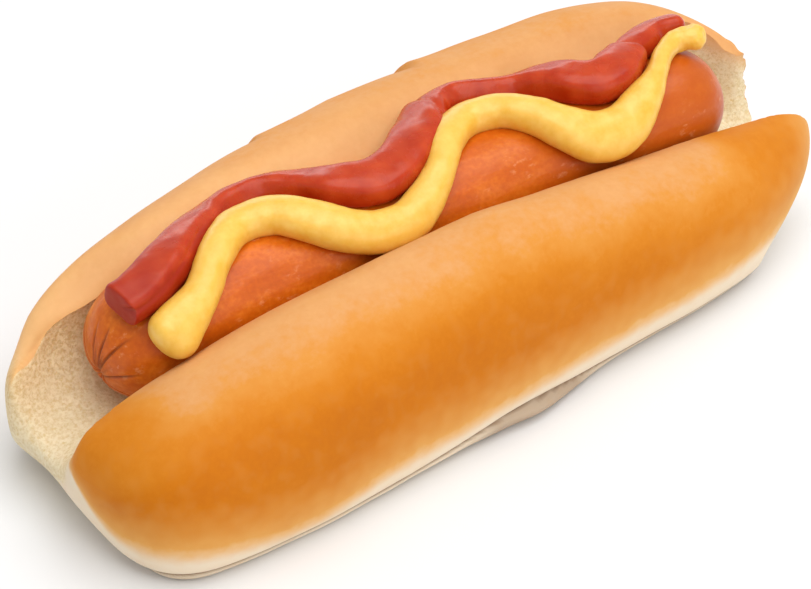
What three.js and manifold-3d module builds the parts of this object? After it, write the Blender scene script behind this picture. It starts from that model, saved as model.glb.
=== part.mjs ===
// A hot dog: a soft bun split along its top, a frankfurter lying in the split, and two wavy
// lines of sauce along it, ketchup on the far side and mustard on the near side.
// Millimetres. X runs along the bun, +Y points to the far side, +Z is up.
// The origin is on the table, under the middle of the whole.
import * as THREE from "three";
import { mergeVertices } from "three/addons/utils/BufferGeometryUtils.js";
import Module from "manifold-3d";

// Bun, as it stands open round the sausage
const BUN_HEIGHT = 38;
const SIDE_HEIGHT = 15; // height at which the bun is widest
const END_HEIGHT = 16; // height of the bun's extreme ends
const CROWN_LINE = 20.5; // distance of each half's crown from the middle
const VALLEY_DROP = 15; // how far the outline dips between the crowns, before it is slit
const FOOT_ROUNDING = 4; // the base curves up this far inside the foot's edge
const FOOT_POWER = 2.6; // squareness of the curve from the foot up to the side

// Each half's width from the middle and the width of its foot, at the left and at the right
const NEAR_HALF = { side: [38.8, 33.7], foot: [36, 29.3] };
const FAR_HALF = { side: [36.5, 39], foot: [32.5, 33] };
const WIDTH_CHANGE = [-50, 35]; // where along X the left's sizes pass into the right's

// How far each half reaches before the bun is slit, and how it falls off to its ends: [power,
// root] of the taper in plan and in height, and of its base, which lifts past the flat share
const FLAT_END = { flat: 0.75, taper: [4, 2.2] };
const NEAR_ENDS = {
  left: { reach: 85.5, plan: [12, 2.6], rise: [2.35, 2.2], lift: FLAT_END },
  right: { reach: 88.4, plan: [3.8, 1.8], rise: [1, 1.87], lift: { flat: 0.68, taper: [0.85, 0.85] } },
};
const FAR_ENDS = {
  left: { reach: 85.4, plan: [1.03, 3.2], rise: [3, 2.7], lift: FLAT_END },
  right: { reach: 83.2, plan: [6.5, 1.4], rise: [6.3, 2.6], lift: FLAT_END },
};
const MIDDLE_REACH = { left: 84.5, right: 81.3 };
const DIP = 4.5; // how much the far half's inner side sags at the left
const DIP_STRETCH = [-50, -66];

// Sausage
const SAUSAGE_ENDS = [-71, 69];
const SAUSAGE_RADIUS = 11.5;
const AXIS_HEIGHT = 26;
const END_LENGTH = 14; // length of each rounded end
const SAUSAGE_END = [2.4, 2.1]; // power and root of its taper
const PUCKER_FOLDS = 11; // folds of skin gathered at the left end
const PUCKER_DEPTH = 0.7;
const PUCKER_STRETCH = [14, 2]; // distances from the end over which the folds deepen
const TIP_LENGTH = 3; // the folds fade again over this, towards the very tip

// Shares of a half's outline, from the middle of its base, at which these are reached
const FOOT_SHARE = 0.2;
const SIDE_SHARE = 0.45;
const CROWN_SHARE = 0.75;

// Slit
const CLEARANCE = 0.3; // gap kept between touching solids
const NEAR_EDGE = 13; // distance of the near cut edge from the sausage's axis
const FAR_EDGE = 12.2;
const SLIT_FLOOR = 13.8;
const SLIT_SQUARE = 2; // squareness of the slit's bottom
// The slit's sizes at each end, and the stretch over which it changes to them
const SLIT_ENDS = {
  left: { stretch: [71.5, 85], edge: 7, floor: 12, square: 2 },
  right: { stretch: [71.5, 81], edge: 4.5, floor: 9, square: 4 },
};
const SLIT_TOP = 60; // above everything, so that the cut opens upwards
const SLIT_REACH = 95; // past both ends of the bun
const WALL_SHARE = 0.1; // share of the slit's outline that is one straight wall

// Triangle budget: stations along X, points round each section
const LOAF_GRID = [38, 52];
const SLIT_GRID = [34, 18];
const SAUSAGE_GRID = [26, 44];
const SAUCE_GRID = [60, 12];

// Sauce lines. Each row: place along X, angle round the sausage from straight up (far side
// positive, degrees), lift above its skin, half width, thickness.
const KETCHUP_LINE = [
  [-67.6, -18, 0.6, 4.2, 4.8],
  [-63, -14, 0.6, 4.3, 4.8],
  [-56.5, -2, 0.6, 4.4, 4.8],
  [-49.5, 16, 0.6, 4.2, 4.8],
  [-41, 38, 1.6, 3.8, 4.4],
  [-35, 44, 3.0, 3.4, 4.2],
  [-28, 42, 2.8, 3.4, 4.2],
  [-22.5, 26, 1.0, 3.6, 4.4],
  [-18.5, 6, 0.6, 4.2, 4.8],
  [-12.5, -6, 0.6, 4.6, 4.8],
  [-7, -3, 0.6, 4.6, 4.8],
  [-1.5, 9, 0.6, 4.8, 5.0],
  [5, 30, 1.6, 5.0, 5.0],
  [10, 46, 3.6, 4.6, 4.8],
  [16, 50, 4.6, 3.8, 4.4],
  [22, 44, 3.2, 3.6, 4.2],
  [28, 38, 1.4, 3.4, 4.4],
  [33, 22, 0.8, 4.2, 5.0],
  [37, 2, 0.6, 4.8, 5.2],
  [42, -4, 0.6, 4.8, 5.2],
  [48, 6, 0.6, 4.2, 4.8],
  [54, 20, 0.8, 3.2, 4.2],
  [60, 28, 1.2, 3.0, 4.0],
  [66, 24, 1.0, 2.8, 3.6],
];
const MUSTARD_LINE = [
  [-64.3, -59, 0.4, 4.0, 5.2],
  [-60.5, -51, 0.4, 4.2, 5.4],
  [-53.5, -35, 0.4, 3.5, 5.2],
  [-46.8, -11, 0.4, 3.3, 5.0],
  [-39.5, 9, 0.4, 3.5, 5.0],
  [-32.8, 5, 0.4, 3.9, 5.2],
  [-28, -14, 0.4, 4.1, 5.2],
  [-23, -33, 0.4, 4.1, 5.2],
  [-17.5, -45, 0.4, 4.0, 5.2],
  [-11.5, -48, 0.4, 4.0, 5.2],
  [-6.5, -40, 0.4, 3.7, 5.0],
  [0.2, -21, 0.4, 2.9, 4.8],
  [6, 3, 0.4, 3.4, 5.0],
  [13, 20, 0.4, 3.4, 5.0],
  [19, 13, 0.4, 3.4, 5.0],
  [23.3, -7, 0.4, 3.6, 5.0],
  [27.3, -30, 0.4, 4.3, 5.4],
  [32, -46, 0.4, 4.9, 5.6],
  [38, -49, 0.4, 4.8, 5.6],
  [44.5, -37, 0.4, 3.8, 5.2],
  [51, -20, 0.4, 2.4, 4.4],
  [56, -3, 0.4, 2.2, 4.0],
  [60.5, 5, 0.6, 2.2, 3.8],
  [66, -4, 0.6, 2.7, 3.8],
];
const SAUCE_SEAT = 0.35; // share of a line's thickness that its middle lies above the skin
const SAUCE_END = [2.6, 2]; // power and root of the taper at a line's ends
const SAUCE_END_CROWD = 0.35; // how much closer the stations lie at a line's ends
const LOOK_AHEAD = 0.004; // share of a line over which its direction is taken

const wasm = await Module();
wasm.setup();

const clamp01 = (v) => Math.min(1, Math.max(0, v));
const mix = (a, b, t) => a + (b - a) * t;
const smooth = (a, b, v) => {
  const t = clamp01((v - a) / (b - a));
  return t * t * (3 - 2 * t);
};

// Share of the full size left at this share of the way to an end
const taper = (way, [power, root]) => (1 - Math.min(1, way) ** power) ** (1 / root);

// Stations that crowd together towards both ends
const stationAt = (i, count, left, right) =>
  (left + right) / 2 + ((right - left) / 2) * Math.sin(((i / count) * 2 - 1) * (Math.PI / 2));

// A closed solid from rings of points, the first and last ring fanned to their middles.
function ringSolid(rings) {
  const round = rings[0].length;
  const centre = (ring) => ring.reduce((sum, p) => sum.map((v, k) => v + p[k] / round), [0, 0, 0]);
  const points = [...rings.flat(), centre(rings[0]), centre(rings.at(-1))];
  const last = (rings.length - 1) * round;
  const faces = [];
  for (let j = 0; j < round; j++) {
    const k = (j + 1) % round;
    for (let i = 0; i < last; i += round) {
      faces.push(i + j, i + k, i + j + round);
      faces.push(i + k, i + k + round, i + j + round);
    }
    faces.push(points.length - 2, k, j);
    faces.push(points.length - 1, last + j, last + k);
  }
  const geometry = new THREE.BufferGeometry();
  geometry.setAttribute("position", new THREE.Float32BufferAttribute(points.flat(), 3));
  geometry.setIndex(faces);
  const merged = mergeVertices(geometry);
  const vertProperties = merged.attributes.position.array;
  const triVerts = new Uint32Array(merged.index.array);
  return new wasm.Manifold(new wasm.Mesh({ numProp: 3, vertProperties, triVerts }));
}

// A point of one half's outline, way from -1 at the left end to 1 at the right; t runs from 0
// at the middle of the base out and up to 1 at the middle of the top.
function halfPoint(way, t, far, grow) {
  const half = far ? FAR_HALF : NEAR_HALF;
  const end = way < 0 ? "left" : "right";
  const ends = (far ? FAR_ENDS : NEAR_ENDS)[end];
  const outer = smooth(0, FOOT_SHARE, t);
  const x = way * (mix(MIDDLE_REACH[end], ends.reach, outer) + grow);
  const change = smooth(...WIDTH_CHANGE, x);
  const side = mix(...half.side, change) + grow;
  const foot = mix(...half.foot, change) + grow - FOOT_ROUNDING;
  const height = BUN_HEIGHT + grow;
  let y, z;
  if (t < FOOT_SHARE) {
    y = (t / FOOT_SHARE) * foot;
    z = -grow;
  } else if (t < SIDE_SHARE) {
    const angle = ((t - FOOT_SHARE) / (SIDE_SHARE - FOOT_SHARE)) * (Math.PI / 2);
    y = foot + (side - foot) * Math.sin(angle) ** (2 / FOOT_POWER);
    z = SIDE_HEIGHT - (SIDE_HEIGHT + grow) * Math.cos(angle) ** (2 / FOOT_POWER);
  } else if (t < CROWN_SHARE) {
    const angle = ((t - SIDE_SHARE) / (CROWN_SHARE - SIDE_SHARE)) * (Math.PI / 2);
    y = CROWN_LINE + (side - CROWN_LINE) * Math.cos(angle);
    z = SIDE_HEIGHT + (height - SIDE_HEIGHT) * Math.sin(angle);
  } else {
    const inward = (t - CROWN_SHARE) / (1 - CROWN_SHARE);
    y = CROWN_LINE * (1 - inward);
    z = height - (VALLEY_DROP * (1 - Math.cos(Math.PI * inward))) / 2;
    if (far) z -= DIP * Math.sin(Math.PI * inward) * smooth(...DIP_STRETCH, x);
  }
  const plan = taper(Math.abs(way), ends.plan);
  const lifted = (lift) => taper(clamp01((Math.abs(way) - lift.flat) / (1 - lift.flat)), lift.taper);
  const base = mix(lifted(FLAT_END), lifted(ends.lift), outer);
  const rise = z > END_HEIGHT ? taper(Math.abs(way), ends.rise) : base;
  return [x, far ? y * plan : -y * plan, END_HEIGHT + (z - END_HEIGHT) * rise];
}

function loaf(grow) {
  const [stations, round] = LOAF_GRID;
  const rings = [];
  for (let i = 1; i < stations; i++) {
    const way = stationAt(i, stations, -1, 1);
    const ring = [];
    for (let j = 0; j < round; j++) {
      const turn = (j / round) * 2;
      ring.push(turn < 1 ? halfPoint(way, turn, true, grow) : halfPoint(way, 2 - turn, false, grow));
    }
    rings.push(ring);
  }
  return ringSolid(rings);
}

// The slit's outline at x, as [y, z]; turn runs from 0 to 1 down the far wall, across the floor
// and up the near wall. It clears the sausage all the way along.
function slitPoint(x, turn, grow) {
  const sizes = SLIT_ENDS[x < 0 ? "left" : "right"];
  const end = smooth(...sizes.stretch, Math.abs(x));
  const far = mix(FAR_EDGE, sizes.edge, end) - grow;
  const near = -NEAR_EDGE + grow;
  const floor = mix(SLIT_FLOOR, sizes.floor, end) + grow;
  const squared = 2 / mix(SLIT_SQUARE, sizes.square, end);
  if (turn < WALL_SHARE) return [far, mix(SLIT_TOP, AXIS_HEIGHT, turn / WALL_SHARE)];
  if (turn > 1 - WALL_SHARE) return [near, mix(SLIT_TOP, AXIS_HEIGHT, (1 - turn) / WALL_SHARE)];
  const angle = ((turn - WALL_SHARE) / (1 - 2 * WALL_SHARE)) * Math.PI;
  const across = Math.sign(Math.cos(angle)) * Math.abs(Math.cos(angle)) ** squared;
  const down = Math.sin(angle) ** squared;
  return [(far + near) / 2 + ((far - near) / 2) * across, AXIS_HEIGHT - (AXIS_HEIGHT - floor) * down];
}

function slit(grow) {
  const [stations, round] = SLIT_GRID;
  const rings = [];
  for (let i = 0; i <= stations; i++) {
    const x = stationAt(i, stations, -SLIT_REACH, SLIT_REACH);
    const ring = [];
    for (let j = round; j >= 0; j--) ring.push([x, ...slitPoint(x, j / round, grow)]);
    rings.push(ring);
  }
  return ringSolid(rings);
}

const bun = (grow) => loaf(grow).subtract(slit(grow));

// Radius of the sausage at x and at an angle round it, with the gathered skin at its left end.
function sausageRadius(x, angle) {
  const [left, right] = SAUSAGE_ENDS;
  const inward = Math.min(x - left, right - x);
  const radius = SAUSAGE_RADIUS * taper(1 - clamp01(inward / END_LENGTH), SAUSAGE_END);
  const gather = x < 0 ? smooth(...PUCKER_STRETCH, inward) * clamp01(inward / TIP_LENGTH) : 0;
  const fold = Math.abs(Math.sin((PUCKER_FOLDS * angle) / 2)) - 1;
  return radius + gather * PUCKER_DEPTH * fold;
}

function sausage(grow) {
  const [stations, round] = SAUSAGE_GRID;
  const stretch = 1 + grow / SAUSAGE_ENDS[1];
  const rings = [];
  for (let i = 1; i < stations; i++) {
    const x = stationAt(i, stations, ...SAUSAGE_ENDS);
    const ring = [];
    for (let j = 0; j < round; j++) {
      const angle = (j / round) * 2 * Math.PI;
      const r = sausageRadius(x, angle) + grow;
      ring.push([x * stretch, r * Math.cos(angle), AXIS_HEIGHT + r * Math.sin(angle)]);
    }
    rings.push(ring);
  }
  return ringSolid(rings);
}

const catmullRom = (a, b, c, d, t) =>
  b + 0.5 * t * (c - a + t * (2 * a - 5 * b + 4 * c - d + t * (3 * (b - c) + d - a)));

// A sauce line's sizes at this share of the way along it
function sauceRow(line, way) {
  const place = way * (line.length - 1);
  const i = Math.min(line.length - 2, Math.floor(place));
  const rowAt = (k) => line[Math.min(line.length - 1, Math.max(0, k))];
  const [a, b, c, d] = [i - 1, i, i + 1, i + 2].map(rowAt);
  return b.map((_, k) => catmullRom(a[k], b[k], c[k], d[k], place - i));
}

function sauceCentre([x, degrees, lift, , thick]) {
  const angle = THREE.MathUtils.degToRad(degrees);
  const r = SAUSAGE_RADIUS + lift + thick * SAUCE_SEAT;
  return new THREE.Vector3(x, r * Math.sin(angle), AXIS_HEIGHT + r * Math.cos(angle));
}

// A line of sauce: a rounded section swept along its route, with round ends. It sinks into
// what it lies on, which is then cut away.
function sauce(line, grow) {
  const [stations, round] = SAUCE_GRID;
  const length = line.at(-1)[0] - line[0][0];
  const rings = [];
  for (let i = 0; i <= stations; i++) {
    const crowded = (1 - Math.cos((i / stations) * Math.PI)) / 2;
    const way = mix(i / stations, crowded, SAUCE_END_CROWD);
    const row = sauceRow(line, way);
    const [, degrees, , half, thick] = row;
    const before = sauceCentre(sauceRow(line, Math.max(0, way - LOOK_AHEAD)));
    const ahead = sauceCentre(sauceRow(line, Math.min(1, way + LOOK_AHEAD))).sub(before).normalize();
    const angle = THREE.MathUtils.degToRad(degrees);
    const out = new THREE.Vector3(0, Math.sin(angle), Math.cos(angle));
    out.addScaledVector(ahead, -out.dot(ahead)).normalize();
    const side = new THREE.Vector3().crossVectors(ahead, out);
    const fromEnd = Math.min(way, 1 - way) * length;
    const cap = taper(1 - clamp01((fromEnd + CLEARANCE) / half), SAUCE_END);
    const ring = [];
    for (let j = 0; j < round; j++) {
      const turn = (-j / round) * 2 * Math.PI;
      const p = sauceCentre(row);
      p.addScaledVector(side, (half + grow) * cap * Math.cos(turn));
      p.addScaledVector(out, (thick * (1 - SAUCE_SEAT) + grow) * cap * Math.sin(turn));
      ring.push(p.toArray());
    }
    rings.push(ring);
  }
  return ringSolid(rings);
}

function meshOf(name, solid, color, roughness) {
  const { vertProperties, triVerts } = solid.getMesh();
  const geometry = new THREE.BufferGeometry();
  geometry.setAttribute("position", new THREE.BufferAttribute(vertProperties, 3));
  geometry.setIndex(new THREE.BufferAttribute(triVerts, 1));
  const material = new THREE.MeshStandardMaterial({ color, roughness, metalness: 0 });
  const mesh = new THREE.Mesh(geometry, material);
  mesh.name = name;
  return mesh;
}

const under = sausage(CLEARANCE).add(bun(CLEARANCE));
const ketchup = sauce(KETCHUP_LINE, 0).subtract(under);
const mustard = sauce(MUSTARD_LINE, 0).subtract(under).subtract(sauce(KETCHUP_LINE, CLEARANCE));

const hotDog = new THREE.Group();
hotDog.add(meshOf("bun", bun(0), 0xd98a3a, 0.6));
hotDog.add(meshOf("sausage", sausage(0), 0xd2691e, 0.35));
hotDog.add(meshOf("ketchup", ketchup, 0xb02a14, 0.2));
hotDog.add(meshOf("mustard", mustard, 0xf2c230, 0.3));

// The sizes above are measured from the sausage's axis, so the whole is moved to its origin.
const box = new THREE.Box3().setFromObject(hotDog);
const middle = box.getCenter(new THREE.Vector3());
hotDog.position.set(-middle.x, -middle.y, -box.min.z);

export default hotDog;
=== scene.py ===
"""A hot dog: a split bun, a frankfurter, a line of ketchup and a line of mustard.

Sizes are in millimetres, measured from the sausage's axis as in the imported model: X runs along
the bun, +Y points to the ketchup side, +Z is up and 0 is the table. MM turns them into metres.
"""
import itertools
import math

import bpy
import numpy as np
from mathutils import Matrix, Vector


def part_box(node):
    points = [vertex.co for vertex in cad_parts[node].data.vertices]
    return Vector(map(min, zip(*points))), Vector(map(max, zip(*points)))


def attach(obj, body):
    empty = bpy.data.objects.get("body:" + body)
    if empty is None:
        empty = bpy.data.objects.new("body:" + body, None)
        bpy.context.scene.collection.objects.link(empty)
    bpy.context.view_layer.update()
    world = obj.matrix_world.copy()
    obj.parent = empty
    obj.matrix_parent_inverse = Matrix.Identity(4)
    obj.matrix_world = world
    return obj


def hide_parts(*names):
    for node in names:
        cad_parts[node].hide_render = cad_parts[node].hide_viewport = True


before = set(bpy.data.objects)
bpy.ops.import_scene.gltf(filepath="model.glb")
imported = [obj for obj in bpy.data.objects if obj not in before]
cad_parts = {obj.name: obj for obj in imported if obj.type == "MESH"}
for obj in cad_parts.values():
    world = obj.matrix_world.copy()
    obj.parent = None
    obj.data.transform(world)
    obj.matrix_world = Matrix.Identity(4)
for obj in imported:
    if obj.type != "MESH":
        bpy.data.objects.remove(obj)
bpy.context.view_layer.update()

MM = 0.001

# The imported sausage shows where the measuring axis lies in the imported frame
SAUSAGE_MIDDLE = -1.0  # of its two ends, along X
_low, _high = (np.array(corner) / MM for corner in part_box("sausage"))
SHIFT = np.array([(_low[0] + _high[0]) / 2 - SAUSAGE_MIDDLE, (_low[1] + _high[1]) / 2, 0])

# Bun, as it stands open round the sausage
BUN_HEIGHT = 38
SIDE_HEIGHT = 15  # height at which the bun is widest
END_HEIGHT = 16  # height of the bun's extreme ends
CROWN_LINE = 20.5  # distance of each half's crown from the middle
VALLEY_DROP = 15  # how far the outline dips between the crowns, before it is slit
FOOT_ROUNDING = 4
FOOT_POWER = 2.6  # squareness of the curve from the foot to the side
NEAR_HALF = {"side": (38.8, 33.7), "foot": (36, 29.3)}  # half widths at the left and the right
FAR_HALF = {"side": (36.5, 39), "foot": (32.5, 33)}
WIDTH_CHANGE = (-50, 35)  # places along X between which they change
# Each end: how far it reaches along X, and shapes for taper. "plan" narrows it and "rise"
# lowers its top. "lift" raises its foot: the share of the way that stays flat, then the shape.
NEAR_ENDS = {
    "left": {"reach": 85.5, "plan": (12, 2.6), "rise": (2.35, 2.2), "lift": (0.75, 4, 2.2)},
    "right": {"reach": 88.4, "plan": (3.8, 1.8), "rise": (1, 1.87), "lift": (0.68, 0.85, 0.85)},
}
FAR_ENDS = {
    "left": {"reach": 85.4, "plan": (1.03, 3.2), "rise": (3, 2.7), "lift": (0.75, 4, 2.2)},
    "right": {"reach": 83.2, "plan": (6.5, 1.4), "rise": (6.3, 2.6), "lift": (0.75, 4, 2.2)},
}
MIDDLE_END = {"left": 84.5, "right": 81.3, "lift": (0.75, 4, 2.2)}
# Shares of the way round a half, from the foot's middle: the foot's border, the side, the crown
FOOT_SHARE, SIDE_SHARE, CROWN_SHARE = 0.2, 0.45, 0.75

# Slit
NEAR_EDGE = 13  # distance of this wall from the middle
FAR_EDGE = 12.2
SLIT_FLOOR = 13.8
SLIT_SQUARE = 2  # squareness of the slit's bottom
# "stretch" is where, along X from the middle, the slit changes to its end's shape
SLIT_ENDS = {
    "left": {"stretch": (71.5, 85), "edge": 7, "floor": 12, "square": 2},
    "right": {"stretch": (71.5, 81), "edge": 4.5, "floor": 9, "square": 4},
}
SLIT_TOP = 46  # above the bun
SLIT_REACH = 92  # past both ends of the bun
DIP = 6  # how much the far half's inner side rolls down to the slit at the left
DIP_STRETCH = (-50, -66)  # places along X between which it grows
DIP_FADE = (-85, -77)  # places between which it grows again from the end
DIP_REACH = (19, 12)  # distances from the middle between which it grows

# Sausage
SAUSAGE_ENDS = (-71, 69)
SAUSAGE_RADIUS = 11.5
AXIS_HEIGHT = 26
END_LENGTH = 14
SAUSAGE_END = (2.4, 2.1)  # taper's shape

# Sauce lines. Each row: place along X, angle round the sausage from straight up (far side
# positive, degrees), lift above its skin, half width, thickness.
KETCHUP_LINE = [
    (-67.6, -18, 0.6, 4.2, 4.8),
    (-63, -14, 0.6, 4.3, 4.8),
    (-56.5, -2, 0.6, 4.4, 4.8),
    (-49.5, 16, 0.6, 4.2, 4.8),
    (-41, 38, 1.6, 3.8, 4.4),
    (-35, 44, 3.0, 3.4, 4.2),
    (-28, 42, 2.8, 3.4, 4.2),
    (-22.5, 26, 1.0, 3.6, 4.4),
    (-18.5, 6, 0.6, 4.2, 4.8),
    (-12.5, -6, 0.6, 4.6, 4.8),
    (-7, -3, 0.6, 4.6, 4.8),
    (-1.5, 9, 0.6, 4.8, 5.0),
    (5, 30, 1.6, 5.0, 5.0),
    (10, 46, 3.6, 4.6, 4.8),
    (16, 50, 4.6, 3.8, 4.4),
    (22, 44, 3.2, 3.6, 4.2),
    (28, 38, 1.4, 3.4, 4.4),
    (33, 22, 0.8, 4.2, 5.0),
    (37, 2, 0.6, 4.8, 5.2),
    (42, -4, 0.6, 4.8, 5.2),
    (48, 6, 0.6, 4.2, 4.8),
    (54, 20, 0.8, 3.2, 4.2),
    (60, 28, 1.2, 3.0, 4.0),
    (66, 24, 1.0, 2.8, 3.6),
]
MUSTARD_LINE = [
    (-64.3, -59, 0.4, 4.6, 5.8),
    (-60.5, -51, 0.4, 4.9, 5.8),
    (-53.5, -35, 0.4, 3.4, 5.2),
    (-46.8, -11, 0.4, 3.3, 5.0),
    (-39.5, 9, 0.4, 3.5, 5.0),
    (-32.8, 5, 0.4, 3.9, 5.2),
    (-28, -14, 0.4, 4.1, 5.2),
    (-23, -33, 0.4, 4.1, 5.2),
    (-17.5, -45, 0.4, 4.0, 5.2),
    (-11.5, -48, 0.4, 4.0, 5.2),
    (-6.5, -40, 0.4, 3.7, 5.0),
    (0.2, -21, 0.4, 2.9, 4.8),
    (6, 3, 0.4, 3.4, 5.0),
    (13, 20, 0.4, 3.4, 5.0),
    (19, 13, 0.4, 3.4, 5.0),
    (23.3, -7, 0.4, 3.6, 5.0),
    (27.3, -30, 0.4, 4.3, 5.4),
    (32, -46, 0.4, 4.9, 5.6),
    (38, -49, 0.4, 4.8, 5.6),
    (44.5, -37, 0.4, 3.8, 5.2),
    (51, -20, 0.4, 2.2, 4.2),
    (56, -3, 0.4, 1.9, 3.7),
    (60.5, 5, 0.6, 2.0, 3.6),
    (66, -4, 0.6, 2.9, 4.0),
]
SAUCE_SEAT = 0.35  # share of a sauce's thickness from its seat to its section's centre
SAUCE_END_CROWD = 0.35  # how much closer its stations lie at its ends

# The photograph
PHOTO_SIZE = (811, 589)
AZIMUTH, ELEVATION = math.radians(-36), math.radians(39)
CAMERA_DISTANCE = 600
PIXELS_PER_MM = 5.43  # at that distance
SAUSAGE_PIXEL = (422.4, 213.6)  # where the sausage's axis has X = 0
SENSOR_WIDTH = 36
CLIPPING = (0.01, 20)  # metres


# Numbers

def clamp01(v):
    return np.clip(v, 0, 1)


def mix(a, b, t):
    return a + (b - a) * t


def smooth(a, b, v):
    t = clamp01((v - a) / (b - a))
    return t * t * (3 - 2 * t)


def bell(v, middle, width):
    return np.exp(-(((v - middle) / width) ** 2))


def taper(way, shape):
    """Share of the full size left at this share of the way to an end."""
    power, root = shape
    return (1 - np.minimum(1, way) ** power) ** (1 / root)


NOISE_CELLS = 256
OCTAVE_SHIFT = 17.3
NOISE_GAIN = 1.6


def noise(points, size, seed, octaves=1):
    """Gradient noise, about -1 to 1, at points in mm; size is the size of its bumps."""
    rng = np.random.default_rng(seed)
    table = rng.permutation(NOISE_CELLS)
    last = NOISE_CELLS - 1
    gradients = rng.normal(size=(NOISE_CELLS, 3))
    gradients /= np.linalg.norm(gradients, axis=1, keepdims=True)
    shape = points.shape[:-1]
    points = points.reshape(-1, 3)
    total = np.zeros(len(points))
    for octave in range(octaves):
        spot = points / size * 2**octave + OCTAVE_SHIFT * octave
        cell = np.floor(spot).astype(int)
        inside = spot - cell
        ease = inside**3 * (inside * (inside * 6 - 15) + 10)
        for corner in itertools.product((0, 1), repeat=3):
            at = (cell + corner) & last
            pick = table[(table[(table[at[:, 0]] + at[:, 1]) & last] + at[:, 2]) & last]
            weight = np.where(corner, ease, 1 - ease).prod(axis=1)
            total += weight * ((inside - corner) * gradients[pick]).sum(axis=1) / 2**octave
    return (total * NOISE_GAIN).reshape(shape)


# Meshes

def place(points):
    """Points in mm from the sausage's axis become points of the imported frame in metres."""
    return (points + SHIFT) * MM


def object_from(name, points, faces):
    mesh = bpy.data.meshes.new(name)
    mesh.from_pydata(points, [], faces)
    mesh.update()
    made = bpy.data.objects.new(name, mesh)
    bpy.context.scene.collection.objects.link(made)
    return made


def ring_solid(name, rings):
    """A closed solid from rings of points (rings, round, 3), its ends fanned to their middles."""
    count, around = rings.shape[:2]
    points = np.concatenate([rings.reshape(-1, 3), rings[:1].mean(axis=1), rings[-1:].mean(axis=1)])
    index = np.arange(count * around).reshape(count, around)
    after = np.roll(index, -1, axis=1)
    quads = np.stack([index[:-1], after[:-1], after[1:], index[1:]], axis=-1).reshape(-1, 4)
    first, last = count * around, count * around + 1
    fans = [(first, int(b), int(a)) for a, b in zip(index[0], after[0])]
    fans += [(last, int(a), int(b)) for a, b in zip(index[-1], after[-1])]
    return object_from(name, place(points), quads.tolist() + fans)


def ring_normals(rings):
    """Outward unit normals of the rings' points."""
    along = np.gradient(rings, axis=0)
    wrapped = np.concatenate([rings[:, -1:], rings, rings[:, :1]], axis=1)
    around = (wrapped[:, 2:] - wrapped[:, :-2]) / 2
    normal = np.cross(around, along)
    normal /= np.linalg.norm(normal, axis=-1, keepdims=True) + 1e-9
    outward = ((rings - rings.mean(axis=1, keepdims=True)) * normal).sum()
    return normal if outward > 0 else -normal


def points_of(mesh):
    """A mesh's points, back in mm from the sausage's axis."""
    flat = np.empty(len(mesh.vertices) * 3)
    mesh.vertices.foreach_get("co", flat)
    return flat.reshape(-1, 3) / MM - SHIFT


def paint(mesh, name, values):
    """Keeps a number for each point, which a material reads by this name."""
    mesh.attributes.new(name, "FLOAT", "POINT").data.foreach_set("value", values.astype(np.float32))


SHARP_ANGLE, SAUCE_SHARP_ANGLE = 60, 80  # degrees


def shade_smooth(mesh, angle=SHARP_ANGLE):
    """Smooth shading, apart from edges sharper than the angle."""
    mesh.shade_smooth()
    mesh.set_sharp_from_angle(angle=math.radians(angle))


def finish_piece(piece, material, node):
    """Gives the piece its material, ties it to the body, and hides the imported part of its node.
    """
    piece.data.materials.clear()
    piece.data.materials.append(material)
    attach(piece, "root")
    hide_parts(node)


# Materials. Colours are 0 to 255 screen values, and a ramp is made of (place, colour) pairs.

CRUST_RAMP = [  # by the bake level: how brown the crust is, with painted light and shade in it
    (0, (236, 184, 124)), (0.42, (216, 155, 95)), (0.55, (214, 141, 57)),
    (0.7, (208, 126, 29)), (0.85, (200, 114, 12)), (1, (192, 106, 12)),
]
# The crease colour is painted shade, for the crease above the foot and for the lip and near foot
# below it
PALE_CRUST, CREAM_CRUST, CREASE_SHADE = (226, 168, 90), (236, 218, 192), (118, 80, 48)
# The pits are painted darker than the walls, as shade in the pores, and the high colours are darker
# than the low ones, as painted shade deep in the slit beside the sausage
CRUMB_HIGH = (210, 168, 104), (240, 212, 164)  # its pits and its walls
CRUMB_LOW = (226, 202, 150), (243, 228, 196)  # low down and at the right end
PALE_HEIGHTS, PALE_PLACES = (24, 10), (55, 72)  # between which it turns from one to the other
SKIN_RAMP = [(0.2, (185, 77, 3)), (0.5, (204, 96, 4)), (0.8, (228, 126, 32))]
# The second colour is a painted highlight, glinting along the skin's wrinkles
SKIN_RIGHT, WRINKLE_GLINT, SKIN_FOLD_SHADE = (186, 84, 14), (246, 190, 140), (110, 44, 6)
SKIN_CHANGE = (0, 50)  # places along X between which the right end's colour comes in
KETCHUP_RAMP = [(0.25, (172, 44, 8)), (0.75, (196, 70, 27))]
# Painted shade colour, for the faces of the line's left part that are turned from the light
KETCHUP_SHADED_SIDE = (150, 22, 0)
MUSTARD_RAMP = [(0.25, (231, 178, 54)), (0.75, (242, 200, 98))]
NOISE_SPAN = (0.3, 0.7)  # where nearly all values of a noise node lie


def new_material(name):
    made = bpy.data.materials.new(name)
    made.use_nodes = True
    return made, Nodes(made.node_tree)


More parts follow.
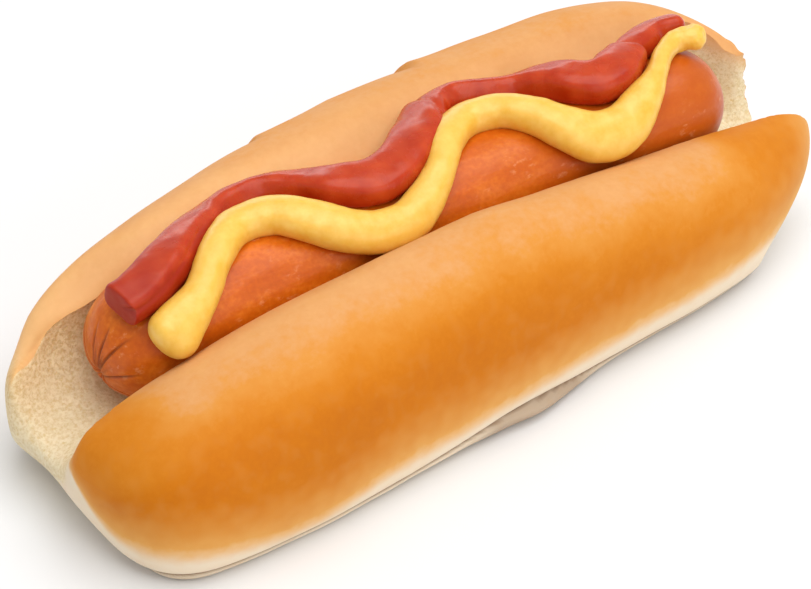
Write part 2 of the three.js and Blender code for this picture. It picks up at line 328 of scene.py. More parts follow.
class Nodes:
    """Short ways to add and join shader nodes."""

    def __init__(self, tree):
        self.tree = tree
        self.shader = tree.nodes["Principled BSDF"]

    def add(self, kind, inputs=None, **settings):
        node = self.tree.nodes.new(kind)
        for key, value in settings.items():
            setattr(node, key, value)
        for key, value in (inputs or {}).items():
            self.join(value, node.inputs[key])
        return node

    def join(self, value, socket):
        if isinstance(value, bpy.types.NodeSocket):
            self.tree.links.new(value, socket)
        else:
            socket.default_value = value

    def set(self, **values):
        """Sets or joins the shader's own inputs; _ stands for a space in their names."""
        for key, value in values.items():
            self.join(value, self.shader.inputs[key.replace("_", " ")])

    def attribute(self, name):
        return self.add("ShaderNodeAttribute", attribute_name=name).outputs["Fac"]

    def position(self):
        return self.add("ShaderNodeTexCoord").outputs["Object"]

    def noise(self, size_mm, detail=3, rough=0.5, stretch=None):
        """Noise with bumps of that size, from 0 to 1."""
        where = self.position()
        if stretch:
            inputs = {"Vector": where, "Scale": stretch}
            where = self.add("ShaderNodeMapping", inputs).outputs["Vector"]
        scale = 1 / (size_mm * MM)
        inputs = {"Vector": where, "Scale": scale, "Detail": detail, "Roughness": rough}
        return self.add("ShaderNodeTexNoise", inputs).outputs["Fac"]

    def vary(self, size_mm, low, high, detail=3, rough=0.5):
        """Noise with bumps of that size, from low to high."""
        return self.spread(self.noise(size_mm, detail, rough), *NOISE_SPAN, low, high)

    def math(self, operation, a, b, clamp=False):
        node = self.add("ShaderNodeMath", {0: a, 1: b}, operation=operation, use_clamp=clamp)
        return node.outputs["Value"]

    def spread(self, value, low, high, to_low=0.0, to_high=1.0):
        """The value from low to high becomes one from to_low to to_high."""
        inputs = {"Value": value, "From Min": low, "From Max": high}
        inputs |= {"To Min": to_low, "To Max": to_high}
        return self.add("ShaderNodeMapRange", inputs).outputs["Result"]

    def ramp(self, value, stops):
        """A colour for the value; stops are (place, colour) pairs."""
        node = self.add("ShaderNodeValToRGB", {"Fac": value})
        elements = node.color_ramp.elements
        for element, (where, colour) in zip(elements, (stops[0], stops[-1])):
            element.position, element.color = where, light_of(colour)
        for where, colour in stops[1:-1]:
            elements.new(where).color = light_of(colour)
        return node.outputs["Color"]

    def blend(self, share, a, b):
        """The colour a, which turns into b as the share goes from 0 to 1."""
        node = self.add("ShaderNodeMix", {"Factor": share}, data_type="RGBA")
        sockets = [socket for socket in node.inputs if socket.type == "RGBA"]
        for colour, socket in zip((a, b), sockets):
            joined = isinstance(colour, bpy.types.NodeSocket)
            self.join(colour if joined else light_of(colour), socket)
        return next(socket for socket in node.outputs if socket.type == "RGBA")

    def bump(self, height, strength, distance_mm, under=None):
        """A normal bent by the height, on top of the normal under it."""
        inputs = {"Height": height, "Strength": strength, "Distance": distance_mm * MM}
        if under is not None:
            inputs["Normal"] = under
        return self.add("ShaderNodeBump", inputs).outputs["Normal"]


def light_of(colour):
    """Screen values turned into the light values that shaders use, by the sRGB standard."""
    share = np.array(colour) / 255
    light = np.where(share <= 0.04045, share / 12.92, ((share + 0.055) / 1.055) ** 2.4)
    return (*light, 1)


def bread_material():
    made, n = new_material("bread")
    crumb, bake_and_painted_light, crease = n.attribute("crumb"), n.attribute("bake_and_painted_light"), n.attribute("crease")
    # The bake level holds painted highlight, painted light and painted shade as well as browning
    level = n.math("ADD", bake_and_painted_light, n.vary(9, -0.045, 0.045))
    level = n.math("ADD", level, n.vary(1.5, -0.04, 0.04, rough=0.6), clamp=True)
    cream = n.math("ADD", n.attribute("cream"), n.vary(3, -0.05, 0.05), clamp=True)
    crust = n.ramp(level, CRUST_RAMP)
    crust = n.blend(n.spread(cream, 0, 0.5), crust, PALE_CRUST)
    crust = n.blend(n.spread(cream, 0.4, 1), crust, CREAM_CRUST)
    # Painted shade in the crease, and on the lip and near foot below it
    crust = n.blend(crease, crust, CREASE_SHADE)
    where = n.add("ShaderNodeSeparateXYZ", {"Vector": n.position()})
    along, height = where.outputs["X"], where.outputs["Z"]
    by_height, by_place = (
        n.spread(value, start * MM, end * MM)
        for value, (start, end) in ((height, PALE_HEIGHTS), (along, PALE_PLACES))
    )
    pale = n.math("MAXIMUM", by_height, by_place)
    dots = n.add("ShaderNodeTexVoronoi", {"Vector": n.position(), "Scale": 1 / (0.9 * MM)})
    dots = n.spread(dots.outputs["Distance"], 0.1, 0.4, 0.3, 1.0)
    dots = n.math("MAXIMUM", dots, n.spread(n.noise(2.2, 2), 0.4, 0.55))
    cells = n.math("MULTIPLY", dots, n.spread(n.noise(0.7, 5, 0.7), 0.36, 0.56, 0.2, 1.0))
    # Painted shade: darker in the pits and high up in the slit
    pits, walls = (n.blend(pale, *pair) for pair in zip(CRUMB_HIGH, CRUMB_LOW))
    inside = n.blend(cells, pits, walls)
    n.set(Base_Color=n.blend(crumb, crust, inside))
    n.set(Roughness=n.spread(crumb, 0, 1, 0.55, 0.9))
    n.set(Subsurface_Weight=0.1, Subsurface_Radius=(1.0, 0.6, 0.35), Subsurface_Scale=3 * MM)
    n.set(Specular_IOR_Level=0.12)
    skin = n.bump(n.noise(1.1, 4, 0.6), 0.08, 0.25)
    n.set(Normal=n.bump(cells, n.spread(crumb, 0, 1, 0.0, 0.5), 0.3, skin))
    return made


def sausage_material():
    made, n = new_material("sausage_skin")
    blotch = n.noise(6, 4, 0.55, stretch=(0.5, 1, 1))
    fine = n.noise(0.9, 2)
    skin = n.ramp(n.math("ADD", blotch, n.spread(fine, *NOISE_SPAN, -0.08, 0.08)), SKIN_RAMP)
    along = n.add("ShaderNodeSeparateXYZ", {"Vector": n.position()}).outputs["X"]
    start, end = SKIN_CHANGE
    skin = n.blend(n.spread(along, start * MM, end * MM, 0.0, 0.75), skin, SKIN_RIGHT)
    patches = n.spread(n.noise(8, 2), 0.5, 0.62)
    wrinkles = n.spread(n.noise(1.3, 4, 0.65, stretch=(0.6, 1, 1)), 0.56, 0.72)
    wrinkled = n.math("MULTIPLY", wrinkles, patches)
    # Painted highlight along the wrinkles
    skin = n.blend(n.math("MULTIPLY", wrinkled, 0.3), skin, WRINKLE_GLINT)
    # Painted shade in the folds and the pucker of the left end
    skin = n.blend(n.attribute("fold"), skin, SKIN_FOLD_SHADE)
    n.set(Base_Color=skin, Specular_IOR_Level=0.32)
    n.set(Roughness=n.spread(blotch, *NOISE_SPAN, 0.38, 0.3))
    n.set(Subsurface_Weight=0.12, Subsurface_Radius=(1.0, 0.35, 0.15), Subsurface_Scale=2.5 * MM)
    lines = n.bump(n.noise(2.4, 3, 0.55, stretch=(0.35, 1, 1)), 0.4, 0.4)
    n.set(Normal=n.bump(n.math("ADD", fine, wrinkled), 0.15, 0.2, lines))
    return made


def ketchup_material():
    made, n = new_material("ketchup")
    # The side colour is painted shade on the left part's near, lower and end faces
    side = n.math("MULTIPLY", n.attribute("side"), 0.7)
    n.set(Base_Color=n.blend(side, n.ramp(n.noise(3.5), KETCHUP_RAMP), KETCHUP_SHADED_SIDE))
    n.set(Roughness=n.math("ADD", n.vary(2.5, 0.2, 0.32), n.math("MULTIPLY", side, 0.3)))
    n.set(Specular_IOR_Level=0.28)
    n.set(Subsurface_Weight=0.35, Subsurface_Radius=(1.0, 0.2, 0.1), Subsurface_Scale=2 * MM)
    n.set(Normal=n.bump(n.noise(1.3, 4, 0.6), 0.05, 0.2))
    return made


def mustard_material():
    made, n = new_material("mustard")
    n.set(Base_Color=n.ramp(n.noise(2.6, 4, 0.6), MUSTARD_RAMP))
    n.set(Roughness=0.36, Specular_IOR_Level=0.55)
    n.set(Subsurface_Weight=0.4, Subsurface_Radius=(1.0, 0.8, 0.4), Subsurface_Scale=2.5 * MM)
    n.set(Normal=n.bump(n.noise(0.8, 3, 0.6), 0.08, 0.15))
    return made


# Bun

# How brown the crust is by the angle round each half, 0 outward and 90 straight up, and how pale it
# is by the height above its foot's border. The paler values toward the top are partly real browning
# and partly a painted highlight. The value past 90, toward the slit, is painted light against the
# shade there.
BAKE_AND_LIGHT_BY_ANGLE = [
    (-60, 0.8), (0, 0.8), (12, 0.86), (24, 0.91), (35, 0.91), (45, 0.85), (54, 0.75), (65, 0.59),
    (75, 0.47), (90, 0.42), (115, 0.3),
]
CREAM_BY_HEIGHT = [
    (-1.5, 1), (-0.5, 0.9), (0.5, 0.7), (1.5, 0.54), (3.5, 0.36), (6, 0.22), (9, 0.1), (13, 0),
]

LOAF_GRID = (330, 380)  # steps along it, points round it
SLIT_GRID = (520, 300)
CRUST_WAVE = 0.35  # height of the crust's broad unevenness
STEPS = (-18, 18.5)  # places along the far half where its crust steps up
STEP_HEIGHT = 0.75
STEP_WIDTH, STEP_FADE = 0.45, 6
CREASE_WIDTH, CREASE_DEPTH = 0.45, 0.5
CREASE_HEIGHT, CREASE_ARCH = 2, 2.6  # and how much higher it runs on the near side
CREASE_MIDDLE, CREASE_SPAN = -5, 24  # of that arch
LIP_SIZE = 1.5  # how far the thin lip below the crease stands out, at its widest
LIP_STRETCHES = [(1, 12, 1), (-76, 8, 0.2)]  # place along X, half width, share of its size
LIP_REST = 0.3  # how far the crust stands out below the crease elsewhere
TEAR_DEPTHS = (0.9, 0.7)  # of the far half's right end and of the near foot
HINGE_STEPS = 10  # steps in which the smoothing grows
HINGE_FACTOR, HINGE_ROUNDS = 0.8, 400
# Noises: size, seed and octaves
CRUST_BUMPS, CREASE_BENDS, LIP_BUMPS = (24, 3, 2), (26, 5), (9, 8)
END_TEARS, FOOT_TEARS, EDGE_TEARS = (3.2, 11, 3), (2.8, 12, 3), (3.2, 41, 3)
CRUMB_LUMPS, CRUMB_GRAIN, CRUMB_PITS = (7, 31, 2), (1.6, 33, 2), (1.1, 35)
BAKE_BENDS, CREAM_BENDS = (24, 51, 2), (20, 52, 2)
FAR_LEAN = 1.4  # how far the far half's edge leans over the sausage
SLIT_CROWD = 1.6  # how much closer the slit's stations lie at its ends


def half_points(way, t, far):
    """Points of one half's outline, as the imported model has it."""
    half = FAR_HALF if far else NEAR_HALF
    ends = FAR_ENDS if far else NEAR_ENDS
    left = way < 0
    away = np.abs(way)

    def lifted(lift):
        flat, power, root = lift
        return taper(clamp01((away - flat) / (1 - flat)), (power, root))

    def of_end(make):
        return np.where(left, make(ends["left"]), make(ends["right"]))

    outer = smooth(0, FOOT_SHARE, t)
    middle = np.where(left, MIDDLE_END["left"], MIDDLE_END["right"])
    x = way * mix(middle, of_end(lambda end: end["reach"]), outer)
    change = smooth(*WIDTH_CHANGE, x)
    side = mix(*half["side"], change)
    foot = mix(*half["foot"], change) - FOOT_ROUNDING
    low = clamp01((t - FOOT_SHARE) / (SIDE_SHARE - FOOT_SHARE)) * math.pi / 2
    high = clamp01((t - SIDE_SHARE) / (CROWN_SHARE - SIDE_SHARE)) * math.pi / 2
    inward = clamp01((t - CROWN_SHARE) / (1 - CROWN_SHARE))
    squared = 2 / FOOT_POWER
    pieces = [t < FOOT_SHARE, t < SIDE_SHARE, t < CROWN_SHARE]
    y = np.select(pieces, [
        t / FOOT_SHARE * foot,
        foot + (side - foot) * np.sin(low) ** squared,
        CROWN_LINE + (side - CROWN_LINE) * np.cos(high),
    ], CROWN_LINE * (1 - inward))
    z = np.select(pieces, [
        0 * t,
        SIDE_HEIGHT - SIDE_HEIGHT * np.maximum(0, np.cos(low)) ** squared,
        SIDE_HEIGHT + (BUN_HEIGHT - SIDE_HEIGHT) * np.sin(high),
    ], BUN_HEIGHT - VALLEY_DROP * (1 - np.cos(math.pi * inward)) / 2)
    plan = of_end(lambda end: taper(away, end["plan"]))
    rise = of_end(lambda end: taper(away, end["rise"]))
    base = mix(lifted(MIDDLE_END["lift"]), of_end(lambda end: lifted(end["lift"])), outer)
    y = y * plan
    height = END_HEIGHT + (z - END_HEIGHT) * np.where(z > END_HEIGHT, rise, base)
    if far:
        sag = DIP * smooth(*DIP_STRETCH, x) * smooth(*DIP_FADE, x) * smooth(*DIP_REACH, y)
        height = height - sag * (t > SIDE_SHARE)
    return np.stack([x, y * (1 if far else -1), height], axis=-1)


def loaf_rings():
    stations, around = LOAF_GRID
    way = np.sin(np.linspace(-1, 1, stations + 1)[1:-1] * math.pi / 2)
    turn = np.arange(around) / around * 2
    grid_way, grid_turn = np.meshgrid(way, turn, indexing="ij")
    far = half_points(grid_way, grid_turn, True)
    near = half_points(grid_way, 2 - grid_turn, False)
    return np.where((grid_turn < 1)[..., None], far, near)


def lip_share(x, y):
    """Where a thin lip stands out below the crease, along the near side."""
    return sum(share * bell(x, at, width) for at, width, share in LIP_STRETCHES) * (y < 0)


def crease_height(points):
    x, y = points[..., 0], points[..., 1]
    arch = CREASE_ARCH * bell(x, CREASE_MIDDLE, CREASE_SPAN) * (y < 0)
    return CREASE_HEIGHT + arch + 0.4 * noise(points * (1, 1, 0), *CREASE_BENDS)


def crust_relief(rings):
    """Broad unevenness, and the crease above the foot where the loaf tore from its neighbour."""
    normal = ring_normals(rings)
    height = rings[..., 2]
    standing = smooth(0.1, 0.5, height)
    at = crease_height(rings)
    move = CRUST_WAVE * noise(rings, *CRUST_BUMPS) * standing
    move -= CREASE_DEPTH * bell(height, at, CREASE_WIDTH)
    out = smooth(0.3, -1.1, height - at) * smooth(0.1, 1.4, height)
    out = out * (1 + 0.3 * noise(rings, *LIP_BUMPS))
    move += (LIP_SIZE * lip_share(rings[..., 0], rings[..., 1]) + LIP_REST) * out
    for at_step in STEPS:
        off = rings[..., 0] - at_step
        rim = smooth(24, 30, rings[..., 1]) * smooth(20, 28, height)
        step = STEP_HEIGHT * np.tanh(off / STEP_WIDTH) * np.exp(-np.abs(off) / STEP_FADE)
        move += step * rim
    rings = rings + normal * move[..., None]
    x, y = rings[..., 0], rings[..., 1]
    torn_end = smooth(77, 82, x) * (y > 0)
    torn_foot = smooth(62, 74, x) * (y < 0) * smooth(9, 5, height) * standing
    end_depth, foot_depth = TEAR_DEPTHS
    rings[..., 0] += torn_end * end_depth * noise(rings, *END_TEARS)
    rings[..., 1] += torn_foot * foot_depth * noise(rings, *FOOT_TEARS)
    rings[..., 2] = np.maximum(rings[..., 2], 0)
    return rings


def slit_section(x):
    """The slit's outlines at the places x, evenly spaced round: (places, round, 2)."""

    def of_end(key, middle):
        left, right = (
            mix(middle, end[key], smooth(*end["stretch"], np.abs(x))) for end in SLIT_ENDS.values()
        )
        return np.where(x < 0, left, right)[:, None]

    far, near = of_end("edge", FAR_EDGE), -NEAR_EDGE
    floor = of_end("floor", SLIT_FLOOR)
    squared = 2 / of_end("square", SLIT_SQUARE)
    wall = SLIT_TOP - AXIS_HEIGHT
    arc = math.pi * NEAR_EDGE
    run = np.linspace(0, 2 * wall + arc, SLIT_GRID[1])[None, :]
    angle = clamp01((run - wall) / arc) * math.pi
    turned = np.sign(np.cos(angle)) * np.abs(np.cos(angle)) ** squared
    y = (far + near) / 2 + (far - near) / 2 * turned
    z = AXIS_HEIGHT - (AXIS_HEIGHT - floor) * np.sin(angle) ** squared
    z = z + np.maximum(0, wall - run) + np.maximum(0, run - wall - arc)
    return np.stack([y, z], axis=-1)


def slit_rings():
    share = np.linspace(-1, 1, SLIT_GRID[0])
    x = SLIT_REACH * np.sign(share) * (1 - (1 - np.abs(share)) ** SLIT_CROWD)
    section = slit_section(x)[:, ::-1]
    places = np.broadcast_to(x[:, None, None], (*section.shape[:2], 1))
    rings = np.concatenate([places, section], axis=-1)
    middle = np.array([0, (FAR_EDGE - NEAR_EDGE) / 2, AXIS_HEIGHT + 6])
    outward = (rings - middle) * (0, 1, 1)
    outward /= np.linalg.norm(outward, axis=-1, keepdims=True)
    open_end = smooth(67, 74, np.abs(x))[:, None]
    coarse = 0.22 * noise(rings, *CRUMB_LUMPS)
    fine = 0.12 * noise(rings, *CRUMB_GRAIN)
    pits = np.maximum(0, noise(rings, *CRUMB_PITS) - 0.25) * 0.5
    lumps = np.maximum(coarse + fine, -0.12) * mix(0.5, 1.0, open_end) + pits * open_end
    nearside = (rings[..., 1] < 0) * smooth(12, 24, x)[:, None]
    torn = smooth(72, 80, x)[:, None]
    ragged = (mix(0.1, 0.5, torn) + 0.45 * nearside) * noise(rings, *EDGE_TEARS)
    ragged *= smooth(24, 30, rings[..., 2]) * np.sign(rings[..., 1])
    lean = FAR_LEAN * (rings[..., 1] > 0) * smooth(26, 32, rings[..., 2])
    ragged -= lean * (smooth(-76, -68, x) * smooth(66, 56, x))[:, None]
    return rings + outward * lumps[..., None] + ragged[..., None] * (0, 1, 0)


def keep_changes(body):
    """Turns what the modifiers make of the body into its mesh."""
    bpy.context.view_layer.update()
    changed = body.evaluated_get(bpy.context.evaluated_depsgraph_get())
    done = bpy.data.meshes.new_from_object(changed)
    body.modifiers.clear()
    body.data = done


def cut(body, cutter):
    """Takes the cutter's shape out of the body; the cut faces keep the cutter's material."""
    change = body.modifiers.new("cut", "BOOLEAN")
    change.operation = "DIFFERENCE"
    change.object = cutter
    change.solver = "MANIFOLD"
    change.material_mode = "TRANSFER"
    keep_changes(body)
    bpy.data.objects.remove(cutter)


def crumb_share(mesh):
    """1 on the points of cut faces, 0 on the crust's."""
    slots = np.empty(len(mesh.polygons), int)
    mesh.polygons.foreach_get("material_index", slots)
    counts = np.empty(len(mesh.polygons), int)
    mesh.polygons.foreach_get("loop_total", counts)
    corners = np.empty(len(mesh.loops), int)
    mesh.loops.foreach_get("vertex_index", corners)
    share = np.ones(len(mesh.vertices))
    np.minimum.at(share, corners, np.repeat(slots, counts).astype(float))
    return share


def crust_levels(points):
    """How brown the crust is from 0 to 1, with a painted highlight, painted light and painted shade
    in it, and how far it's paled to cream at the foot.
    """
    x, y, z = points.T
    near = y < 0
    crown = np.full(len(x), float(CROWN_LINE))
    right_far = ~near & (x > 0)
    end = FAR_ENDS["right"]
    crown[right_far] *= taper(x[right_far] / end["reach"], end["plan"])
    angle = np.degrees(np.arctan2(z - 14, np.abs(y) - crown)) + 5 * noise(points, *BAKE_BENDS)
    level = np.interp(angle, *zip(*BAKE_AND_LIGHT_BY_ANGLE))
    # More even to the right, painted lighter inward of the far crown to lift the shade there, and
    # brown over the near tips
    level = mix(level, 0.42 + (level - 0.42) * 0.55, smooth(-10, 75, x))
    level = np.where(~near & (angle > 90), level - 0.3 * smooth(90, 110, angle), level)
    tips = np.maximum(smooth(-66, -78, x), smooth(48, 62, x)) * smooth(20, 60, angle) * near
    level = mix(level, mix(0.74, 0.58, smooth(70, 84, x)), tips)
    level = np.where(near, level, np.minimum(level, 0.62))
    # A darker rim along the far edge at the left: partly browning and partly painted shade where
    # the crust rolls over into the slit
    rim = FAR_EDGE + 0.8 - FAR_LEAN * smooth(-76, -68, x) - 5.2 * smooth(-71.5, -85, x)
    level += 0.3 * bell(y, rim, 1.1) * smooth(-52, -62, x)
    # The height up to which the foot is pale
    corner = clamp01((y + 30) / 16) ** 2 * smooth(-70, -80, x) * near
    border = 7.2 + 0.7 * noise(points * (1, 1, 0), *CREAM_BENDS) + 9 * corner
    border += (1.5 * smooth(-20, 60, x) + 6 * smooth(64, 88, x) - 3.5 * bell(x, -52, 13)) * near
    border += 10 * smooth(-74, -83, x) * ~near
    above = (z - border) * (1 + 2 * corner)
    return level, np.interp(above, *zip(*CREAM_BY_HEIGHT))


def crumb_cover(points, cut_share):
    """How much bare crumb shows: on the cut faces, and round the open left end's lip."""
    x, y, z = points.T
    hinge = smooth(-77, -81, x) * smooth(-10, -7, y) * smooth(25, 19, z)
    rim = smooth(-72, -78, x) * smooth(-9.5, -12, y)
    browned = smooth(60, 70, x) * (y > 3) * smooth(24.5, 31, z + 0.6 * (x - 75))
    return np.maximum(cut_share * (1 - 0.9 * browned) * (1 - rim), hinge)


def soften_hinge(body):
    """Rounds the lip where the slit runs out through the left end."""
    x, y, z = points_of(body.data).T
    low = smooth(-24, -17, y) * smooth(18, 13, z)
    top = 20 + 4 * smooth(0, 4, y) * smooth(-78, -82, x)
    weight = smooth(-74, -78, x) * np.maximum(low, smooth(-15, -12, y) * smooth(top + 6, top, z))
    group = body.vertex_groups.new(name="hinge")
    for level in range(1, HINGE_STEPS + 1):
        chosen = np.flatnonzero(np.ceil(weight * HINGE_STEPS) == level)
        group.add(chosen.tolist(), level / HINGE_STEPS, "REPLACE")
    change = body.modifiers.new("soften", "SMOOTH")
    change.factor, change.iterations = HINGE_FACTOR, HINGE_ROUNDS
    change.vertex_group = "hinge"
    keep_changes(body)
    body.vertex_groups.clear()


def make_bun():
    loaf = ring_solid("bun_bread", crust_relief(loaf_rings()))
    cutter = ring_solid("slit", slit_rings())
    for body, name in ((loaf, "outside"), (cutter, "inside")):
        body.data.materials.append(bpy.data.materials.new(name))
    cut(loaf, cutter)
    soften_hinge(loaf)
    mesh = loaf.data
    points = points_of(mesh)
    crumb = crumb_cover(points, crumb_share(mesh))
    bake_and_painted_light, cream = crust_levels(points)
    paint(mesh, "crumb", crumb)
    paint(mesh, "bake_and_painted_light", bake_and_painted_light)
    paint(mesh, "cream", cream)
    # Painted shade: dark along the crease above the foot, and on the thin lip and the near foot
    # below it
    above = points[:, 2] - crease_height(points)
    x, y = points[:, :2].T
    below = 0.16 * smooth(-20, 40, x) * (y < 0) + 0.5 * np.minimum(1, 2 * lip_share(x, y))
    lip = np.minimum(0.6, below) * smooth(0.9, -0.4, above)
    paint(mesh, "crease", np.maximum(0.85 * bell(above, 0, CREASE_WIDTH), lip) * (1 - crumb))
    shade_smooth(mesh)
    for name in ("outside", "inside"):
        mesh.materials.pop(index=0)
        bpy.data.materials.remove(bpy.data.materials[name])
    finish_piece(loaf, bread_material(), "bun")


# Sausage

SAUSAGE_GRID = (420, 320)
PUCKER = (0.2, 21.7)  # across and up
# Creases round the pucker: degrees from straight up near it and at their far end, length, depth
FOLDS = [
    (-4, 6, 12.5, 0.8), (-14, -3, 9, 0.5), (-22, -8, 13.5, 1.0), (-26, -21, 8, 0.8),
    (-28, -29, 15, 1.0), (-44, -42, 7, 0.4), (-56, -64, 12, 0.9), (-103, -113, 9, 0.8),
    (-140, -132, 10, 0.7), (-172, -168, 12, 0.8), (30, 38, 11, 0.8), (58, 50, 9, 0.6),
    (88, 96, 12, 0.9), (120, 116, 8, 0.6), (152, 158, 11, 0.8),
]
FOLD_WIDTH = 0.26
FOLD_DEPTH = 0.4
FOLD_START = (0.2, 1.2)  # distances from the pucker between which the folds begin
FOLD_FADE = 0.6  # share of its length after which a fold fades
FOLD_REACH = 14  # distance up to which the folds keep their width
PUCKER_WIDTH, PUCKER_DEPTH = 1.8, 1.2
# How dark the painted shade in the folds is
FOLD_SHADE = 0.75
TIP_SHADES = (0.6, 0)  # of the middle points of the left and the right end
SAUSAGE_WAVE = 0.16  # height of the skin's unevenness
SAUSAGE_BUMPS = (9, 71, 3)


def make_sausage():
    left, right = SAUSAGE_ENDS
    stations, around = SAUSAGE_GRID
    share = np.sin(np.linspace(-1, 1, stations + 1)[1:-1] * math.pi / 2)
    x = (left + right) / 2 + (right - left) / 2 * share
    inward = np.minimum(x - left, right - x)
    radius = SAUSAGE_RADIUS * taper(1 - clamp01(inward / END_LENGTH), SAUSAGE_END)
    angle = np.arange(around) / around * 2 * math.pi
    rings = np.stack([
        np.broadcast_to(x[:, None], (len(x), around)),
        radius[:, None] * np.cos(angle),
        AXIS_HEIGHT + radius[:, None] * np.sin(angle),
    ], axis=-1)
    normal = ring_normals(rings)
    from_tip = rings - (left, *PUCKER)
    distance = np.linalg.norm(from_tip, axis=-1)
    turn = np.degrees(np.arctan2(from_tip[..., 1], from_tip[..., 2]))
    fold = np.zeros(rings.shape[:2])
    for at_first, at_last, long, deep in FOLDS:
        middle = mix(at_first, at_last, clamp01(distance / long))
        gap = (turn - middle + 180) % 360 - 180
        off = np.radians(gap) * np.minimum(distance, FOLD_REACH)
        strength = smooth(long, long * FOLD_FADE, distance) * smooth(*FOLD_START, distance)
        fold = np.maximum(fold, bell(off, 0, FOLD_WIDTH) * strength * deep)
    fold *= (x < 0)[:, None]
    move = -FOLD_DEPTH * fold - PUCKER_DEPTH * bell(distance, 0, PUCKER_WIDTH)
    move += SAUSAGE_WAVE * noise(rings * (0.5, 1, 1), *SAUSAGE_BUMPS)
    rings = rings + normal * move[..., None]
    piece = ring_solid("sausage_skin", rings)
    # Painted shade in the folds and at the left tip's middle
    paint(piece.data, "fold", FOLD_SHADE * np.append(fold.ravel(), TIP_SHADES))
    shade_smooth(piece.data)
    finish_piece(piece, sausage_material(), "sausage")


# Sauces

SAUCE_GRID = (560, 72)
ROUND_END, BLUNT_END = (2, 2), (8, 5)  # taper's shapes
KETCHUP_SQUARE, MUSTARD_SQUARE = 3, 2.1  # squareness of their sections


def catmull_rom(rows, place_in):
    """Rows read between their points, smoothly."""
    i = np.minimum(len(rows) - 2, np.floor(place_in).astype(int))
    t = (place_in - i)[:, None]
    a, b, c, d = (rows[np.clip(i + k, 0, len(rows) - 1)] for k in (-1, 0, 1, 2))
    return b + 0.5 * t * (c - a + t * (2 * a - 5 * b + 4 * c - d + t * (3 * (b - c) + d - a)))


def sauce_rings(line, first_end, last_end, flat):
    """A rounded section swept along the line's route; the ends' shapes are taper's."""
    stations, around = SAUCE_GRID
    share = np.linspace(0, 1, stations + 1)
    way = mix(share, (1 - np.cos(share * math.pi)) / 2, SAUCE_END_CROWD)
    row = catmull_rom(np.array(line, float), way * (len(line) - 1))
    x, degrees, lift, half, thick = row.T
    angle = np.radians(degrees)
    r = SAUSAGE_RADIUS + lift + thick * SAUCE_SEAT
    centre = np.stack([x, r * np.sin(angle), AXIS_HEIGHT + r * np.cos(angle)], axis=-1)
    ahead = np.gradient(centre, axis=0)
    ahead /= np.linalg.norm(ahead, axis=1, keepdims=True)
    out = np.stack([0 * x, np.sin(angle), np.cos(angle)], axis=-1)
    out -= ahead * (out * ahead).sum(axis=1, keepdims=True)
    out /= np.linalg.norm(out, axis=1, keepdims=True)
    side = np.cross(ahead, out)
    length = line[-1][0] - line[0][0]
    caps = [
        taper(1 - clamp01((from_end * length + 0.05) / half), shape)
        for from_end, shape in ((way, first_end), (1 - way, last_end))
    ]
    cap = np.minimum(*caps)[:, None, None]
    turn = (-np.arange(around) / around * 2 * math.pi)[None, :, None]
    across = np.sign(np.cos(turn)) * np.abs(np.cos(turn)) ** (2 / flat)
    upward = np.sign(np.sin(turn)) * np.abs(np.sin(turn)) ** (2 / flat)
    rings = centre[:, None] + side[:, None] * half[:, None, None] * cap * across
    return rings + out[:, None] * (thick * (1 - SAUCE_SEAT))[:, None, None] * cap * upward


KETCHUP_TAIL = 50  # where a thinner last piece comes out from under the line's big lobe
LOBE_END = (50.5, 14, 0.6, 4.4, 4.8)  # the lobe's last row
TAIL_START = (45, 6, 0.3, 2.6, 3.6)  # the thinner piece's first row
KETCHUP_FOLD = 9  # where the line has a small fold across it
KETCHUP_DIP, KETCHUP_DIP_DEPTH = 40.5, 1.0  # between the two big lobes, on the far side
# Degrees round the section, width and height of what runs along the line at the left
KETCHUP_RIDGE, KETCHUP_GROOVE = (292, 18, 0.3), (326, 24, 0.45)
KETCHUP_BUMPS, KETCHUP_GRAIN, KETCHUP_PATCHES = (8, 81, 2), (2.4, 82, 2), (5, 84, 2)
MUSTARD_BUMPS, MUSTARD_GRAIN, MUSTARD_CRUMPLES = (6, 91, 2), (1.5, 92, 2), (2.2, 93, 2)
CRUMPLED = (58, 63)  # places along X between which the mustard's crumples begin


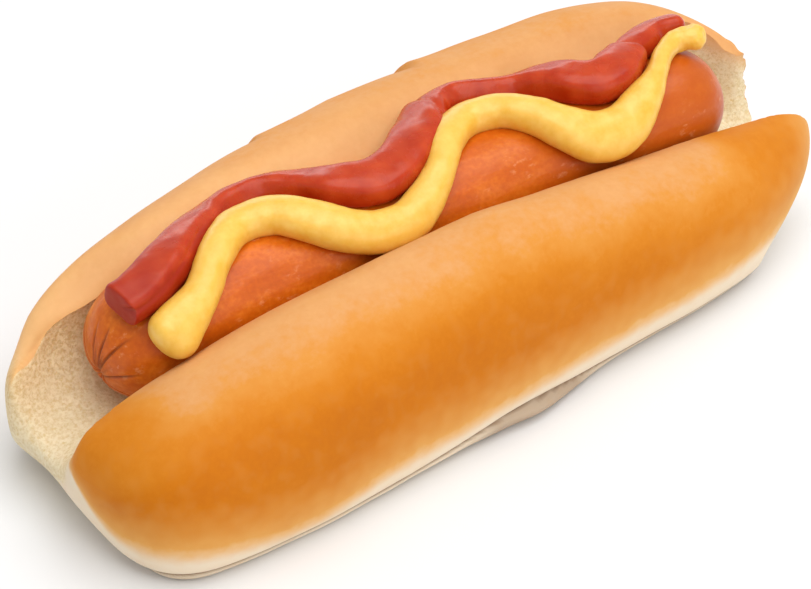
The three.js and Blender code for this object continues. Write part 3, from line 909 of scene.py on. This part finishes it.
def make_ketchup():
    lobe = [row for row in KETCHUP_LINE if row[0] < KETCHUP_TAIL]
    lobe += [LOBE_END]
    tail = [TAIL_START] + [row for row in KETCHUP_LINE if row[0] > KETCHUP_TAIL]
    pieces = (("ketchup_line", lobe, BLUNT_END), ("ketchup_tail", tail, ROUND_END))
    for name, line, first_end in pieces:
        rings = sauce_rings(line, first_end, ROUND_END, KETCHUP_SQUARE)
        normal = ring_normals(rings)
        x = rings[..., 0]
        move = 0.2 * noise(rings, *KETCHUP_BUMPS)
        move += 0.06 * noise(rings * (0.6, 1, 1), *KETCHUP_GRAIN)
        move += 0.25 * bell(x, KETCHUP_FOLD - 2.2, 1.6) - 0.3 * bell(x, KETCHUP_FOLD, 0.8)
        move -= KETCHUP_DIP_DEPTH * bell(x, KETCHUP_DIP, 1.6) * smooth(0, 0.7, normal[..., 1])
        turn = np.arange(SAUCE_GRID[1]) / SAUCE_GRID[1] * 360
        ridge, groove = (
            high * bell(turn, at, width) for at, width, high in (KETCHUP_RIDGE, KETCHUP_GROOVE)
        )
        move += (ridge - groove) * smooth(-40, -46, x)
        piece = ring_solid(name, rings + normal * move[..., None])
        # The side share is painted shade: on faces turned to the near side, under the line and at
        # its left end, on its left part
        under = np.maximum(0, -normal[..., 2])
        facing = 0.3 * noise(rings, *KETCHUP_PATCHES) - normal[..., 1] + 0.5 * under
        side = np.maximum(smooth(0.45, 0.75, facing), smooth(0.6, 0.9, -normal[..., 0]))
        side = np.maximum(side * smooth(-36, -46, x), 0.6 * smooth(-50, -62, x))
        paint(piece.data, "side", np.append(side.ravel(), (1, 1)))
        shade_smooth(piece.data, SAUCE_SHARP_ANGLE)
        finish_piece(piece, ketchup_material(), "ketchup")


def make_mustard():
    rings = sauce_rings(MUSTARD_LINE, ROUND_END, ROUND_END, MUSTARD_SQUARE)
    normal = ring_normals(rings)
    move = 0.16 * noise(rings, *MUSTARD_BUMPS) + 0.03 * noise(rings, *MUSTARD_GRAIN)
    move += 0.35 * noise(rings, *MUSTARD_CRUMPLES) * smooth(*CRUMPLED, rings[..., 0])
    piece = ring_solid("mustard_line", rings + normal * move[..., None])
    shade_smooth(piece.data, SAUCE_SHARP_ANGLE)
    finish_piece(piece, mustard_material(), "mustard")


# Surroundings. The floor and the lights are in metres.

FLOOR_REACH = 3.0
FLOOR_COLOUR = (0.82, 0.82, 0.82, 1)
WORLD_COLOUR, WORLD_STRENGTH = (1, 1, 1, 1), 0.58
LIGHTS = {  # place, aim, width and height, power
    "key": ((0.1, -0.15, 0.88), (0, 0, 0.02), (1.1, 0.9), 7.5),
    "fill": ((0.15, -0.85, 0.35), (0, 0, 0.02), (0.8, 0.6), 1.7),
    "back": ((0.4, 0.9, 0.25), (0, 0, 0.03), (0.8, 0.2), 1.2),
}


def make_floor():
    size = FLOOR_REACH
    corners = [(-size, -size, 0), (size, -size, 0), (size, size, 0), (-size, size, 0)]
    floor = object_from("floor", corners, [(0, 1, 2, 3)])
    made, n = new_material("floor_pale")
    n.set(Base_Color=FLOOR_COLOUR, Roughness=0.8)
    floor.data.materials.append(made)


def add_light(name, place_at, aim, size, power):
    light = bpy.data.lights.new(name, "AREA")
    light.shape = "RECTANGLE"
    light.size, light.size_y = size
    light.energy = power
    made = bpy.data.objects.new(name, light)
    made.location = place_at
    made.rotation_euler = (Vector(aim) - Vector(place_at)).to_track_quat("-Z", "Y").to_euler()
    bpy.context.scene.collection.objects.link(made)


def make_lights():
    world = bpy.data.worlds.new("studio")
    world.use_nodes = True
    background = world.node_tree.nodes["Background"]
    background.inputs["Color"].default_value = WORLD_COLOUR
    background.inputs["Strength"].default_value = WORLD_STRENGTH
    bpy.context.scene.world = world
    for name, (place_at, aim, size, power) in LIGHTS.items():
        add_light(name, place_at, aim, size, power)


def make_camera():
    right = np.array([math.cos(AZIMUTH), math.sin(AZIMUTH), 0])
    back = np.array([
        math.sin(AZIMUTH) * math.cos(ELEVATION),
        -math.cos(AZIMUTH) * math.cos(ELEVATION),
        math.sin(ELEVATION),
    ])
    up = np.cross(back, right)
    width, height = PHOTO_SIZE
    off_right = (SAUSAGE_PIXEL[0] - width / 2) / PIXELS_PER_MM
    off_up = (height / 2 - SAUSAGE_PIXEL[1]) / PIXELS_PER_MM
    target = np.array([0, 0, AXIS_HEIGHT]) - right * off_right - up * off_up
    data = bpy.data.cameras.new("camera")
    data.sensor_fit, data.sensor_width = "HORIZONTAL", SENSOR_WIDTH
    data.lens = CAMERA_DISTANCE * PIXELS_PER_MM / width * SENSOR_WIDTH
    data.clip_start, data.clip_end = CLIPPING
    camera = bpy.data.objects.new("camera", data)
    turn = Matrix((right, up, back)).transposed().to_4x4()
    camera.matrix_world = Matrix.Translation(place(target + back * CAMERA_DISTANCE)) @ turn
    bpy.context.scene.collection.objects.link(camera)
    bpy.context.scene.camera = camera


make_camera()
make_bun()
make_sausage()
make_ketchup()
make_mustard()
make_floor()
make_lights()
bpy.context.scene.view_settings.view_transform = "Standard"
